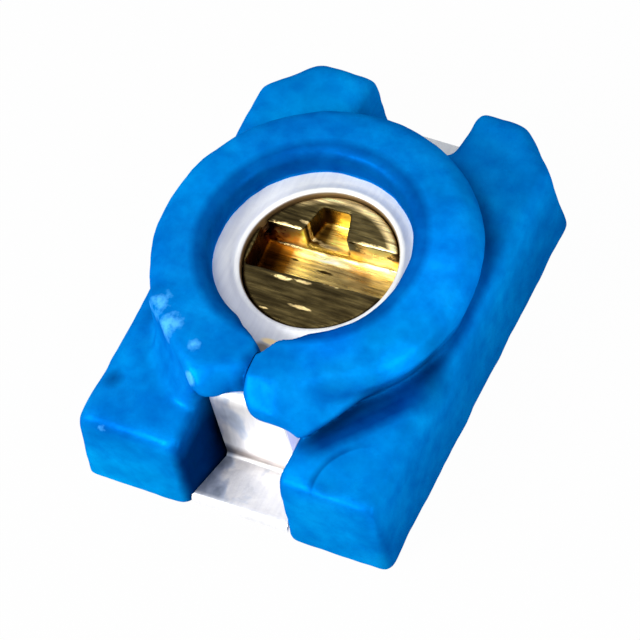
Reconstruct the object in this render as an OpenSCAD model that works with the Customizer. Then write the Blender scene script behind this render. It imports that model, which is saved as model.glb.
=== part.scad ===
// Half-turn ceramic trimmer capacitor for surface mounting.
// Millimetres, +Z up. The origin is the centre of the case's underside; X is the case's width and
// Y its length. The adjusting terminal's foot is at -Y and the fixed terminal's foot at +Y.

/* [Case] */
// Width of the case at the board
case_w = 3.2; // [3.0:0.1:3.6]
// Length of the case at the board
case_l = 4.56; // [4.3:0.1:5.5]
// Height of the block that the collar stands on
block_h = 0.95; // [0.85:0.05:1.05]
// How far the block's sides lean in over their height
side_draft = 0.05; // [0.02:0.01:0.12]
// Size of the 45 degree cuts on the two rear corners
corner_cut = 0.47; // [0.2:0.05:0.7]
// Size of the small flats on the two front corners
front_cut = 0.06; // [0.04:0.01:0.2]
// Thickness of the floor under the well
floor_t = 0.3; // [0.25:0.01:0.4]

/* [Collar] */
// How far the collar stands in from the case's long sides
collar_inset = 0.01; // [0.01:0.01:0.15]
// Thickness of the collar's wall round the cover
collar_wall = 0.4; // [0.28:0.02:0.44]
// Height of the staked lip above the cover
lip_h = 0.3; // [0.2:0.02:0.4]
// How far the staked lip reaches in over the cover
lip_reach = 0.22; // [0.08:0.01:0.24]
// Radius of the collar's outer shoulder
shoulder_r = 0.2; // [0.1:0.01:0.22]
// Radius of the staked lip's inner edge
lip_r = 0.14; // [0.05:0.01:0.15]
// Width of the seam between the collar's two ends
seam_w = 0.03; // [0.02:0.01:0.1]
// How far the collar's wall draws in from its shoulder down to the block
collar_neck = 0.1; // [0.02:0.01:0.14]
// How far the staked lip's opening lies to the left of the middle
lip_left = 0.055; // [0:0.005:0.07]
// How far the staked lip's opening lies to the rear of the middle
lip_rear = 0.015; // [0:0.005:0.05]
// How far the collar's two ends stand forward of the collar, over the tab
jaw_reach = 0.16; // [0.14:0.01:0.2]
// Width of the left end, from the seam
jaw_left = 0.5; // [0.46:0.01:0.6]
// How far the left end spreads out on the block's top
jaw_foot = 0.2; // [0.1:0.01:0.26]
// Width of the right end, from the seam
jaw_right = 0.77; // [0.7:0.01:0.86]
// Width of the V that the seam opens to at the lip
mouth_w = 0.7; // [0.5:0.02:0.9]
// Depth of the V, from the lip's opening out
mouth_deep = 0.35; // [0.2:0.01:0.42]

/* [Notches] */
// Width of the front notch, over the adjusting terminal
front_notch_w = 1.1; // [1.08:0.02:1.2]
// Width of the rear notch, over the fixed terminal
rear_notch_w = 1.16; // [1.08:0.02:1.2]
// Plastic left between the front notch and the collar's outside
front_web = -0.02; // [-0.03:0.01:0.08]
// Plastic left between the rear notch and the collar's outside
rear_web = 0.07; // [0.05:0.01:0.25]

/* [Terminals] */
// Thickness of the terminals' strip
strip_t = 0.1; // [0.08:0.01:0.12]
// Width of a terminal's foot
foot_w = 1.02; // [0.8:0.02:1.06]
// Width of the adjusting terminal's leg and tab
leg_w = 0.78; // [0.6:0.02:0.9]
// Inside radius of the terminals' bends
bend_r = 0.04; // [0.02:0.01:0.06]
// How far a foot's end lies in from the case's end
foot_back = 0.01; // [0:0.01:0.1]
// Diameter of the fixed terminal's pad in the well
pad_d = 1.2; // [0.8:0.1:1.4]

/* [Cover] */
// Width of the cover's seat in the collar
seat_w = 0.1; // [0.06:0.01:0.12]
// Width of the pressed rim round the adjusting hole
rim_w = 0.09; // [0.05:0.01:0.12]
// How far the pressed rim stands above the cover
rim_h = 0.03; // [0.01:0.01:0.05]

/* [Ceramic] */
// Thickness of the ceramic disc
ceramic_t = 0.2; // [0.15:0.01:0.25]
// Width of the ledge that the ceramic disc's rim lies on
ledge_w = 0.12; // [0.08:0.01:0.15]
// Thickness of the fired silver electrode
film_t = 0.02; // [0.01:0.01:0.03]
// Thickness of the conductive bond under the electrode
bond_t = 0.04; // [0.02:0.01:0.06]
// Diameter of the conductive bond
bond_d = 0.8; // [0.4:0.1:1.0]

/* [Rotor] */
// Height of the half-moon plate on the rotor's underside
plate_t = 0.1; // [0.06:0.01:0.15]
// Thickness of the rotor's flange
flange_t = 0.28; // [0.2:0.02:0.34]
// How far the rotor's top lies under the cover's top face
hub_drop = 0.04; // [0:0.01:0.1]
// Width of the driver slot
slot_w = 0.5; // [0.3:0.05:0.6]
// Depth of the driver slot
slot_t = 0.33; // [0.2:0.01:0.36]
// Brass left at the closed end of the slot's long arm
slot_end = 0.05; // [0.04:0.01:0.15]
// Brass left at the closed end of the slot's short arm
arm_end = 0.12; // [0.1:0.01:0.2]
// Width of the slot's short arm at its closed end
arm_w = 0.3; // [0.2:0.02:0.5]
// Turn of the driver slot from the case's width
slot_turn = 2.8; // [-10:0.2:10]

/* [Spring] */
// Width of the wave spring's ring
spring_w = 0.21; // [0.16:0.01:0.24]
// Thickness of the wave spring
spring_t = 0.04; // [0.03:0.01:0.05]
// Height of the space that the wave spring works in
spring_room = 0.16; // [0.14:0.01:0.2]
// Number of waves
wave_count = 3; // [2:1:4]

/* [Fits] */
// Gap between the well's wall and the discs in it
well_gap = 0.04; // [0.02:0.01:0.06]
// Gap between the rotor's hub and the adjusting hole, on the radius
hub_gap = 0.04; // [0.02:0.01:0.08]
// Gap between the terminals and the notches
strip_gap = 0.01; // [0.005:0.005:0.03]

/* [Hidden] */
$fn = 96;

// Overshoot of a cutting shape past the face that it opens
over = 0.2;
// A length well past the whole part, for half-space cutters
far = 20;

// Heights, stacked up from the board
film_z = floor_t + bond_t;
ceramic_z = film_z + film_t;
rotor_z = ceramic_z + ceramic_t;
flange_z = rotor_z + plate_t;
spring_z = flange_z + flange_t;
cover_z = spring_z + spring_room;
cover_top = cover_z + strip_t;
case_h = cover_top + lip_h;
hub_top = cover_top - hub_drop;
slot_z = hub_top - slot_t;

// Radii, worked in from the case's side
collar_rad = case_w / 2 - collar_inset;
seat_rad = collar_rad - collar_wall;
well_rad = seat_rad - seat_w;
lip_rad = seat_rad - lip_reach;
cover_rad = seat_rad - strip_gap;
ceramic_rad = well_rad - well_gap;
recess_rad = ceramic_rad - ledge_w;
film_rad = recess_rad - well_gap;
flange_rad = well_rad - 2 * well_gap;
spring_out = flange_rad - well_gap / 2;
spring_in = spring_out - spring_w;
hole_rad = spring_in - well_gap / 2;
hub_rad = hole_rad - hub_gap;

// Places along the case's length
front_wall = collar_rad + front_web;
rear_wall = collar_rad + rear_web;
leg_y = front_wall + strip_gap + strip_t;
jaw_y = collar_rad + jaw_reach;
foot_y = case_l / 2 - foot_back;

// Points along an arc of radius r, from angle a0 to a1
function arc(cx, cy, r, a0, a1, n = 8) =
    [for (i = [0 : n]) let (a = a0 + (a1 - a0) * i / n) [cx + r * cos(a), cy + r * sin(a)]];

// ---- Case -----------------------------------------------------------------------------------

// Takes away all that lies outside a face that leans in, d from the axis at the board
module lean_cut(turn, d) {
    rotate([0, 0, turn])
        translate([d, 0, 0])
            rotate([0, -atan(side_draft / block_h), 0])
                translate([0, -far / 2, -far / 2])
                    cube(far);
}

// Takes away all that lies past a plane through a point; the plane faces the way az, tilted up by
// lift
module past(point, az, lift) {
    translate(point)
        rotate([0, 0, az])
            rotate([0, -lift, 0])
                translate([0, -far / 2, -far / 2])
                    cube(far);
}

// The block has a small flat on each front corner and a large one on each rear corner
module case_block() {
    corner_d = (case_w + case_l) / 2;
    difference() {
        translate([-case_w, -case_l, 0])
            cube([2 * case_w, 2 * case_l, block_h]);
        for (turn = [0, 180])
            lean_cut(turn, case_w / 2);
        for (turn = [90, 270])
            lean_cut(turn, case_l / 2);
        for (turn = [45, 135])
            lean_cut(turn, (corner_d - corner_cut) / sqrt(2));
        for (turn = [225, 315])
            lean_cut(turn, (corner_d - front_cut) / sqrt(2));
    }
}

// The collar's section: its wall draws in from the shoulder down to the block
module collar_section() {
    neck_rad = collar_rad - collar_neck;
    polygon(concat(
        [[lip_rad - over, floor_t], [neck_rad, floor_t], [neck_rad, block_h]],
        arc(collar_rad - shoulder_r, case_h - shoulder_r, shoulder_r, -50, 90),
        [[lip_rad - over, case_h]]
    ));
}

// The collar's left end runs straight off the round. It falls away in front, and spreads out on
// the block's top on its outer side.
module left_end() {
    side = 229;
    out = [cos(side), sin(side)];
    difference() {
        union() {
            linear_extrude(case_h)
                polygon([
                    [0, -seat_rad], [0, 0.2 - jaw_y], [-0.1, 0.12 - jaw_y], [-0.2, 0.03 - jaw_y],
                    [0.14 - jaw_left, -jaw_y], [-jaw_left, -jaw_y], 1.03 * collar_rad * out,
                    seat_rad * out
                ]);
            difference() {
                translate([-collar_rad, -jaw_y, 0])
                    cube([collar_rad - jaw_left + 0.1, jaw_y - seat_rad / 2, case_h - 0.28]);
                past([(collar_rad + jaw_foot) * out.x, (collar_rad + jaw_foot) * out.y, block_h],
                    side, 34);
                translate([-case_w, -seat_rad, 0])
                    cube([case_w, case_l, case_h]);
            }
        }
        past([-jaw_left / 2, 0.17 - jaw_y, case_h - 0.05], 291, 50);
        past([-1.5 * jaw_left, 0.24 - jaw_y, case_h - 0.05], 234, 49);
    }
}

// The right end stands out over the leg, with its lower face rising towards the seam, and is
// undercut on its far side
module right_end() {
    corner = [jaw_right + 0.05, 0.23 - jaw_y];
    difference() {
        linear_extrude(case_h)
            polygon([
                [0, -seat_rad], [0, 0.16 - jaw_y], [0.14, 0.01 - jaw_y], [0.3, -0.01 - jaw_y],
                [jaw_right - 0.03, -0.01 - jaw_y], [jaw_right + 0.24, 0.47 - jaw_y],
                [seat_rad, -seat_rad / 2]
            ]);
        past([jaw_right / 2, 0.13 - jaw_y, case_h - 0.07], 270, 53);
        past([corner.x, corner.y, cover_top - 0.05], 330, 50);
        past([corner.x, corner.y, cover_top - 0.1], 330, -45);
        past([0.06, 0.05 - jaw_y, cover_top - 0.05], 191, -59);
    }
}

// The opening inside the staked lip lies a little off the middle
module lip_opening() {
    translate([-lip_left, lip_rear, 0])
        rotate_extrude()
            polygon(concat(
                [[0, cover_top - over], [lip_rad, cover_top - over]],
                arc(lip_rad + lip_r, case_h - lip_r, lip_r, 180, 90),
                [[lip_rad + lip_r, case_h + over], [0, case_h + over]]
            ));
}

// Everything turned out of the middle of the case, from the floor up
module well() {
    translate([0, 0, floor_t])
        cylinder(r = recess_rad, h = case_h);
    translate([0, 0, ceramic_z])
        cylinder(r = well_rad, h = cover_top - ceramic_z);
    translate([0, 0, cover_z])
        cylinder(r = seat_rad, h = strip_t);
}

// The rear notch goes through the whole height
module rear_notch() {
    translate([-rear_notch_w / 2, rear_wall, -over])
        cube([rear_notch_w, far, case_h + 2 * over]);
}

// The front notch ends under the collar. Its walls lean, close in on the foot below and flare out
// at the block's end.
module front_notch() {
    low = -over / 10;
    end = case_l / 2 + over;
    share = (end - front_wall) / (foot_y - front_wall);
    leg_side = leg_w / 2 + strip_gap;
    foot_side = leg_side + (foot_w - leg_w) / 2 * share;
    top_side = front_notch_w / 2;
    polyhedron(
        [
            [-foot_side, -end, low], [foot_side, -end, low],
            [top_side - 0.03, -front_wall, low], [-leg_side, -front_wall, low],
            [0.11 - top_side, -end, cover_top], [top_side, -end, cover_z],
            [top_side, -front_wall, cover_z], [0.02 - top_side, -front_wall, cover_top]
        ],
        [
            [0, 1, 2, 3], [4, 6, 5], [4, 7, 6], [5, 1, 0], [5, 0, 4], [5, 6, 2], [5, 2, 1],
            [6, 7, 3], [6, 3, 2], [7, 4, 0], [7, 0, 3]
        ]);
    for (way = [-1, 1])
        translate([0, 0, low])
            linear_extrude(cover_z - low)
                polygon([
                    [way * (top_side - 0.1), 0.17 - case_l / 2], [way * (top_side - 0.1), -end],
                    [way * (top_side + 0.07 + over), -end]
                ]);
}

// The seam between the collar's ends: a thin gap that opens to a V at the staked lip
module seam() {
    side = mouth_w / 2;
    tip = lip_rad + mouth_deep;
    translate([0, 0, cover_top])
        linear_extrude(lip_h + over)
            polygon([
                [-side, 0.03 - lip_rad], [side - 0.02, 0.02 - lip_rad], [side / 2, 0.24 - tip],
                [seam_w / 2, -tip], [seam_w / 2, -jaw_y - over], [-seam_w / 2, -jaw_y - over],
                [-seam_w / 2, -tip], [-side / 2, 0.24 - tip]
            ]);
}

// The way that the tab takes through the collar, with its lower edge eased for the leg's bend
module tab_way() {
    front = -leg_y - strip_gap;
    translate([-leg_w / 2 - strip_gap, 0, 0])
        rotate([90, 0, 90])
            linear_extrude(leg_w + 2 * strip_gap)
                polygon([
                    [0, cover_z], [0, cover_top], [front, cover_top], [front, cover_z - bend_r],
                    [-front_wall, cover_z - bend_r], [bend_r - front_wall, cover_z]
                ]);
}

module case_housing() {
    color("dodgerblue")
        difference() {
            union() {
                case_block();
                rotate_extrude()
                    collar_section();
                left_end();
                right_end();
            }
            well();
            lip_opening();
            rear_notch();
            front_notch();
            tab_way();
            seam();
            fixed_terminal();
        }
}

// ---- Terminals --------------------------------------------------------------------------------

// The fixed terminal is moulded into the floor: a foot, a rise and a round pad in the well
module fixed_terminal() {
    pad_z = floor_t - strip_t;
    rise_y = rear_wall - pad_z;
    color("silver")
        union() {
            translate([-foot_w / 2, 0, 0])
                rotate([90, 0, 90])
                    linear_extrude(foot_w)
                        polygon([
                            [foot_y, 0], [foot_y, strip_t], [rise_y, strip_t],
                            [rise_y - pad_z, floor_t], [0, floor_t], [0, pad_z],
                            [rise_y - pad_z - strip_t / 2, pad_z], [rise_y - strip_t / 2, 0]
                        ]);
            translate([0, 0, pad_z])
                cylinder(d = pad_d, h = strip_t);
        }
}

// The leg and foot seen from the side, from the cover's edge down to the board
module leg_section() {
    out_r = bend_r + strip_t;
    top_y = out_r - leg_y;
    low_y = -leg_y - bend_r;
    polygon(concat(
        [[-seat_rad + seat_w, cover_z], [-seat_rad + seat_w, cover_top]],
        arc(top_y, cover_top - out_r, out_r, 90, 180),
        arc(low_y, out_r, bend_r, 0, -90),
        [[-foot_y, strip_t], [-foot_y, 0]],
        arc(low_y, out_r, out_r, -90, 0),
        arc(top_y, cover_top - out_r, bend_r, 180, 90)
    ));
}

// The strip seen from above: the leg's width, spreading to the foot's
module leg_outline() {
    polygon([
        [-leg_w / 2, -well_rad + over], [-leg_w / 2, -leg_y], [-foot_w / 2, -foot_y - over],
        [foot_w / 2, -foot_y - over], [leg_w / 2, -leg_y], [leg_w / 2, -well_rad + over]
    ]);
}

// The cover is a flat ring with a pressed rim round the adjusting hole
module cover_ring() {
    rotate_extrude()
        polygon([
            [hole_rad, cover_z], [cover_rad, cover_z], [cover_rad, cover_top],
            [hole_rad + rim_w, cover_top], [hole_rad + rim_w / 2, cover_top + rim_h],
            [hole_rad, cover_top + rim_h]
        ]);
}

// A small ear on the leg's right edge, under the bend, that fills the notch's corner
module leg_ear() {
    ear_low = 0.55;
    ear_x = front_notch_w / 2 - 2 * strip_gap;
    translate([0, -front_wall - strip_gap, 0])
        rotate([90, 0, 0])
            linear_extrude(strip_t / 2)
                polygon([
                    [leg_w / 2 - strip_t, ear_low], [leg_w / 2, ear_low],
                    [ear_x, block_h], [ear_x, cover_z - strip_t / 2],
                    [leg_w / 2 - strip_t, cover_z - strip_t / 2]
                ]);
}

module rotor_terminal() {
    color("gainsboro")
        union() {
            cover_ring();
            leg_ear();
            intersection() {
                translate([-case_w / 2, 0, 0])
                    rotate([90, 0, 90])
                        linear_extrude(case_w)
                            leg_section();
                translate([0, 0, -over])
                    linear_extrude(case_h + over)
                        leg_outline();
            }
        }
}

// ---- Capacitor ----------------------------------------------------------------------------------

// A half disc with a round middle: the shape of both electrodes
module half_moon(r, middle_d) {
    union() {
        intersection() {
            circle(r);
            translate([-r, 0])
                square([2 * r, r]);
        }
        circle(d = middle_d);
    }
}

module conductive_bond() {
    color("dimgray")
        translate([0, 0, floor_t])
            cylinder(d = bond_d, h = bond_t);
}

module fixed_electrode() {
    color("lightgray")
        translate([0, 0, film_z])
            linear_extrude(film_t)
                half_moon(film_rad, bond_d);
}

module ceramic_disc() {
    color("linen")
        translate([0, 0, ceramic_z])
            cylinder(r = ceramic_rad, h = ceramic_t);
}

// ---- Adjustment -----------------------------------------------------------------------------------

// The driver slot: one long arm that runs out on the right, and a tapered short arm to the rear
module driver_slot() {
    slot_y = 0.04;
    side = slot_y + slot_w / 2;
    slot_left = slot_end - hub_rad;
    arm_top = hub_rad - arm_end;
    arm_left = -0.08 - slot_w / 2;
    arm_right = arm_left + slot_w;
    arm_lean = 0.09;
    translate([0, 0, slot_z])
        rotate([0, 0, slot_turn])
            linear_extrude(slot_t + over)
                polygon([
                    [slot_left, side - slot_w], [hole_rad, side - slot_w], [hole_rad, side],
                    [arm_right, side], [arm_right - arm_lean, arm_top],
                    [arm_right - arm_lean - arm_w, arm_top], [arm_left, side],
                    [slot_left, side]
                ]);
}

module rotor() {
    color("goldenrod")
        difference() {
            union() {
                translate([0, 0, rotor_z])
                    linear_extrude(plate_t)
                        half_moon(film_rad, bond_d);
                translate([0, 0, flange_z])
                    cylinder(r = flange_rad, h = flange_t);
                translate([0, 0, spring_z])
                    cylinder(r = hub_rad, h = hub_top - spring_z);
            }
            driver_slot();
        }
}

// A thin ring pressed into waves round its run, resting on the flange and under the cover
module wave_spring() {
    steps = 24 * wave_count;
    mid_z = spring_z + spring_room / 2;
    swing = (spring_room - spring_t) / 2 - strip_gap;
    function ring_pt(i, r, dz) =
        let (a = 360 * i / steps)
            [r * cos(a), r * sin(a), mid_z + swing * cos(wave_count * a) + dz];
    pts = [
        for (i = [0 : steps - 1])
            for (c = [[0, -1], [1, -1], [1, 1], [0, 1]])
                ring_pt(i, c[0] == 0 ? spring_in : spring_out, c[1] * spring_t / 2)
    ];
    faces = [
        for (i = [0 : steps - 1])
            for (k = [0 : 3])
                let (a = 4 * i, b = 4 * ((i + 1) % steps), m = (k + 1) % 4)
                    [a + k, a + m, b + m, b + k]
    ];
    color("peru")
        polyhedron(pts, faces);
}

case_housing();
fixed_terminal();
conductive_bond();
fixed_electrode();
ceramic_disc();
rotor();
wave_spring();
rotor_terminal();
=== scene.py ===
import math

import bmesh
import bpy
from mathutils import Matrix, Vector


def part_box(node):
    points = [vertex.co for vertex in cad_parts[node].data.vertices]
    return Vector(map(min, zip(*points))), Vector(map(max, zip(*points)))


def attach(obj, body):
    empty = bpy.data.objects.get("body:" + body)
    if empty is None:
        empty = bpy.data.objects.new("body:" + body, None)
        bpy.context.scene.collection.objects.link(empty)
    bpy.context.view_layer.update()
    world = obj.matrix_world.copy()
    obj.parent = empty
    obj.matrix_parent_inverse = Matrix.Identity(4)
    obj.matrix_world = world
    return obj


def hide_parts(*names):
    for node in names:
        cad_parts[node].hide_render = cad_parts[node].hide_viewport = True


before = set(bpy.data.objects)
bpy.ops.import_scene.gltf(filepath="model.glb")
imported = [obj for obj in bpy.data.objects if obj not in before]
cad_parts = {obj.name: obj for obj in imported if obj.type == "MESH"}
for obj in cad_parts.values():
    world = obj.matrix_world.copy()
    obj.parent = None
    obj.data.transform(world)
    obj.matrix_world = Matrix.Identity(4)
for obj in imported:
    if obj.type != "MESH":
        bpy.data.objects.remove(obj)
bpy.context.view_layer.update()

# ---- Camera, table and lamps -----------------------------------------------------------------
# The part stands on a white table. A small softbox lights it from the front left, wider and
# dimmer ones from above and from the right, and a dim white room fills in the rest.
mm = 0.001

view_turn, view_rise, view_roll = (math.radians(a) for a in (39.2, 55.8, 16.6))
view_distance = 49.5 * mm
view_aim = Vector((-0.19, 0.086)) * mm
side = Vector((math.cos(view_turn), math.sin(view_turn), 0))
back = Vector((
    math.sin(view_turn) * math.cos(view_rise),
    -math.cos(view_turn) * math.cos(view_rise),
    math.sin(view_rise),
))
rise = back.cross(side)
camera_x = side * math.cos(view_roll) - rise * math.sin(view_roll)
camera_y = side * math.sin(view_roll) + rise * math.cos(view_roll)

camera_data = bpy.data.cameras.new("camera")
camera_data.lens = 289
camera_data.clip_start = 1 * mm
camera_data.clip_end = 10
camera = bpy.data.objects.new("camera", camera_data)
bpy.context.scene.collection.objects.link(camera)
camera_place = back * view_distance + camera_x * view_aim.x + camera_y * view_aim.y
camera.matrix_world = Matrix.Translation(camera_place) @ (
    Matrix((camera_x, camera_y, back)).transposed().to_4x4())
bpy.context.scene.camera = camera
bpy.context.scene.view_settings.view_transform = "Standard"


def deselect_all():
    for other in bpy.context.selected_objects:
        other.select_set(False)


def shader_tree(name):
    """A new material with its node tree and its Principled shader."""
    material = bpy.data.materials.new(name)
    material.use_nodes = True
    tree = material.node_tree
    return material, tree, tree.nodes["Principled BSDF"]


def backdrop_rays(tree):
    """1 for the rays that show the backdrop: straight from the camera, mirrored or let through."""
    path = tree.nodes.new("ShaderNodeLightPath")
    total = path.outputs["Is Camera Ray"]
    for ray in ("Is Glossy Ray", "Is Transmission Ray"):
        either = tree.nodes.new("ShaderNodeMath")
        either.operation = "MAXIMUM"
        tree.links.new(total, either.inputs[0])
        tree.links.new(path.outputs[ray], either.inputs[1])
        total = either.outputs[0]
    return total


def table_paint():
    """Plain pale paint that takes the part's shadow, and shows nearly white to the camera."""
    white_share = 0.98
    material, tree, paint = shader_tree("table_paint")
    paint.inputs["Base Color"].default_value = (0.5, 0.5, 0.5, 1)
    paint.inputs["Roughness"].default_value = 0.9
    paint.inputs["Specular IOR Level"].default_value = 0
    glow = tree.nodes.new("ShaderNodeEmission")
    share = tree.nodes.new("ShaderNodeMath")
    share.operation = "MULTIPLY"
    share.inputs[1].default_value = white_share
    mix = tree.nodes.new("ShaderNodeMixShader")
    tree.links.new(backdrop_rays(tree), share.inputs[0])
    tree.links.new(share.outputs[0], mix.inputs[0])
    tree.links.new(paint.outputs[0], mix.inputs[1])
    tree.links.new(glow.outputs[0], mix.inputs[2])
    tree.links.new(mix.outputs[0], tree.nodes["Material Output"].inputs["Surface"])
    return material


deselect_all()
bpy.ops.mesh.primitive_plane_add(size=2)
table = bpy.context.object
table.name = table.data.name = "table"
table.data.materials.append(table_paint())

room = bpy.data.worlds.new("room")
room.use_nodes = True
bpy.context.scene.world = room
room_tree = room.node_tree
fill = room_tree.nodes["Background"]
fill.inputs["Color"].default_value = (0.96, 0.98, 1, 1)
fill.inputs["Strength"].default_value = 0.45
white_room = room_tree.nodes.new("ShaderNodeBackground")
white_room.inputs["Color"].default_value = (1, 1, 1, 1)
white_room.inputs["Strength"].default_value = 1
room_mix = room_tree.nodes.new("ShaderNodeMixShader")
room_tree.links.new(backdrop_rays(room_tree), room_mix.inputs[0])
room_tree.links.new(fill.outputs[0], room_mix.inputs[1])
room_tree.links.new(white_room.outputs[0], room_mix.inputs[2])
room_tree.links.new(room_mix.outputs[0], room_tree.nodes["World Output"].inputs["Surface"])


def softbox(name, turn, lift, distance, width, power):
    """A square lamp that looks at the part; turn is from the front, positive to the right."""
    turn, lift = math.radians(turn), math.radians(lift)
    lamp = bpy.data.lights.new(name, "AREA")
    lamp.size = width * mm
    lamp.energy = power
    holder = bpy.data.objects.new(name, lamp)
    way = Vector((
        math.sin(turn) * math.cos(lift), -math.cos(turn) * math.cos(lift), math.sin(lift)))
    holder.location = way * distance * mm
    holder.rotation_euler = way.to_track_quat("Z", "Y").to_euler()
    bpy.context.scene.collection.objects.link(holder)


softbox("front_softbox", turn=-36, lift=32, distance=60, width=24, power=0.032)
softbox("top_softbox", turn=0, lift=65, distance=60, width=36, power=0.01)
softbox("right_softbox", turn=68, lift=28, distance=60, width=36, power=0.011)

# ---- Case housing ----------------------------------------------------------------------------
# The blue resin case is moulded as a low block with a round collar. The collar is split at the
# front and its lip was pressed in hot over the cover, so its edges are soft and a little uneven.


def box_mm(node):
    """Lowest and highest corner of a CAD node, in millimetres."""
    low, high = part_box(node)
    return low / mm, high / mm


case_high = box_mm("case_housing")[1]
cover_low, cover_high = box_mm("rotor_terminal")
ceramic_low, ceramic_high = box_mm("ceramic_disc")
film_low, film_high = box_mm("fixed_electrode")
strip_high = box_mm("fixed_terminal")[1]

strip_t = 0.1
rim_h = 0.03
block_h = 0.95
rear_left_corner, rear_right_corner, front_corner = 0.48, 0.54, 0.05
collar_rad = 1.61
seat_rad = cover_high.y + 0.01
well_rad = ceramic_high.x + 0.04
recess_rad = film_high.x + 0.04
floor_z = strip_high.z
ledge_z = film_high.z
cover_top = cover_high.z - rim_h
cover_z = cover_top - strip_t
leg_front = -1.68
leg_half = 0.38
mould_rad, mould_place = 0.56, (1.44, -2.09)


def active(name):
    """Names the shape that was just added and writes its place and scale into its mesh."""
    bpy.ops.object.transform_apply(location=True, rotation=True, scale=True)
    piece = bpy.context.object
    piece.name = piece.data.name = name
    return piece


def edit(piece, kind="FACE"):
    """Opens the shape for editing with nothing selected."""
    deselect_all()
    bpy.context.view_layer.objects.active = piece
    piece.select_set(True)
    bpy.ops.object.mode_set(mode="EDIT")
    bpy.ops.mesh.select_mode(type=kind)
    bpy.ops.mesh.select_all(action="DESELECT")


def close_edit():
    bpy.ops.object.mode_set(mode="OBJECT")


def pick_faces(piece, wanted):
    """Selects the faces whose middle and normal the test wants."""
    mesh = bmesh.from_edit_mesh(piece.data)
    for face in mesh.faces:
        if wanted(face.calc_center_median(), face.normal):
            face.select_set(True)
    mesh.select_flush_mode()
    bmesh.update_edit_mesh(piece.data)


def pick_edges(piece, wanted):
    """Selects the edges whose two ends the test wants."""
    mesh = bmesh.from_edit_mesh(piece.data)
    for line in mesh.edges:
        if wanted(line.verts[0].co, line.verts[1].co):
            line.select_set(True)
    mesh.select_flush_mode()
    bmesh.update_edit_mesh(piece.data)


def shift_corners(piece, wanted, value):
    """Moves the corners that the test wants."""
    edit(piece, "VERT")
    mesh = bmesh.from_edit_mesh(piece.data)
    for corner in mesh.verts:
        if wanted(corner.co):
            corner.select_set(True)
    mesh.select_flush_mode()
    bmesh.update_edit_mesh(piece.data)
    bpy.ops.transform.translate(value=value)
    close_edit()


def block(name, low, high):
    """A plain block between two corners."""
    low, high = Vector(low), Vector(high)
    bpy.ops.mesh.primitive_cube_add(size=1, location=(low + high) / 2, scale=high - low)
    return active(name)


def slice_off(piece, place, outward):
    """Saws off all that lies past a plane and closes the cut."""
    edit(piece)
    bpy.ops.mesh.select_all(action="SELECT")
    bpy.ops.mesh.bisect(plane_co=place, plane_no=outward, use_fill=True, clear_outer=True)
    close_edit()


def carve(piece, cuts):
    """Saws a rough block to shape, one plane after another."""
    for place, outward in cuts:
        slice_off(piece, place, outward)


def round_edges(piece, width, wanted):
    """Rounds the edges whose two ends the test wants."""
    edit(piece, "EDGE")
    pick_edges(piece, wanted)
    bpy.ops.mesh.bevel(offset=width, segments=4, profile=0.5)
    close_edit()


def arc(cx, cz, r, start, end, steps=8):
    """Points of a round stretch in a turned section."""
    angles = [math.radians(start + (end - start) * i / steps) for i in range(steps + 1)]
    return [(cx + r * math.cos(a), cz + r * math.sin(a)) for a in angles]


def turned(name, section, ring=False, centre=(0, 0), facets=192):
    """A turned shape: a ring of edges drawn from point to point of its section.
    Open sections get flat ends, and a ring's section is closed on itself."""
    radius, height = section[0]
    bpy.ops.mesh.primitive_circle_add(vertices=facets, radius=radius, location=(0, 0, height))
    piece = active(name)
    edit(piece, "EDGE")
    bpy.ops.mesh.select_all(action="SELECT")
    if not ring:
        bpy.ops.mesh.edge_face_add()
    for wide, high in section[1:] + ([section[0]] if ring else []):
        bpy.ops.mesh.extrude_edges_move(TRANSFORM_OT_translate={"value": (0, 0, high - height)})
        bpy.ops.transform.resize(value=(wide / radius, wide / radius, 1))
        radius, height = wide, high
    if not ring:
        bpy.ops.mesh.edge_face_add()
    bpy.ops.mesh.select_all(action="SELECT")
    bpy.ops.mesh.remove_doubles(threshold=0.0005)
    bpy.ops.mesh.normals_make_consistent(inside=False)
    bpy.ops.transform.translate(value=(centre[0], centre[1], 0))
    close_edit()
    return piece


def combine(piece, tool, operation):
    """Joins the tool to the piece, or cuts it out, and takes the tool away."""
    deselect_all()
    bpy.context.view_layer.objects.active = piece
    change = piece.modifiers.new(operation, "BOOLEAN")
    change.operation = operation
    change.solver = "MANIFOLD"
    change.object = tool
    bpy.ops.object.modifier_apply(modifier=change.name)
    bpy.data.objects.remove(tool)


def refine(piece, kind, **settings):
    """Applies one modifier."""
    deselect_all()
    bpy.context.view_layer.objects.active = piece
    change = piece.modifiers.new(kind, kind)
    for key, value in settings.items():
        setattr(change, key, value)
    bpy.ops.object.modifier_apply(modifier=change.name)


def unevenness(name, size):
    """A cloudy pattern that sets how far a skin is pushed in and out."""
    pattern = bpy.data.textures.new(name, "CLOUDS")
    pattern.noise_scale = size
    pattern.noise_depth = 2
    return pattern


def paint_with(piece, material):
    piece.data.materials.clear()
    piece.data.materials.append(material)


def finished(piece, body, node, smooth=40):
    """Brings a piece down from millimetres to metres and puts it in the place of its node."""
    deselect_all()
    bpy.context.view_layer.objects.active = piece
    piece.select_set(True)
    bpy.ops.object.shade_smooth_by_angle(angle=math.radians(smooth))
    piece.scale = (mm, mm, mm)
    bpy.ops.object.transform_apply(location=True, rotation=True, scale=True)
    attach(piece, body)
    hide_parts(node)


def melted(piece, size, rounds):
    """Softens a shape all over, as hot resin sets."""
    refine(piece, "REMESH", mode="VOXEL", voxel_size=size)
    refine(piece, "SMOOTH", factor=0.5, iterations=rounds)
    return piece


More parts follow.
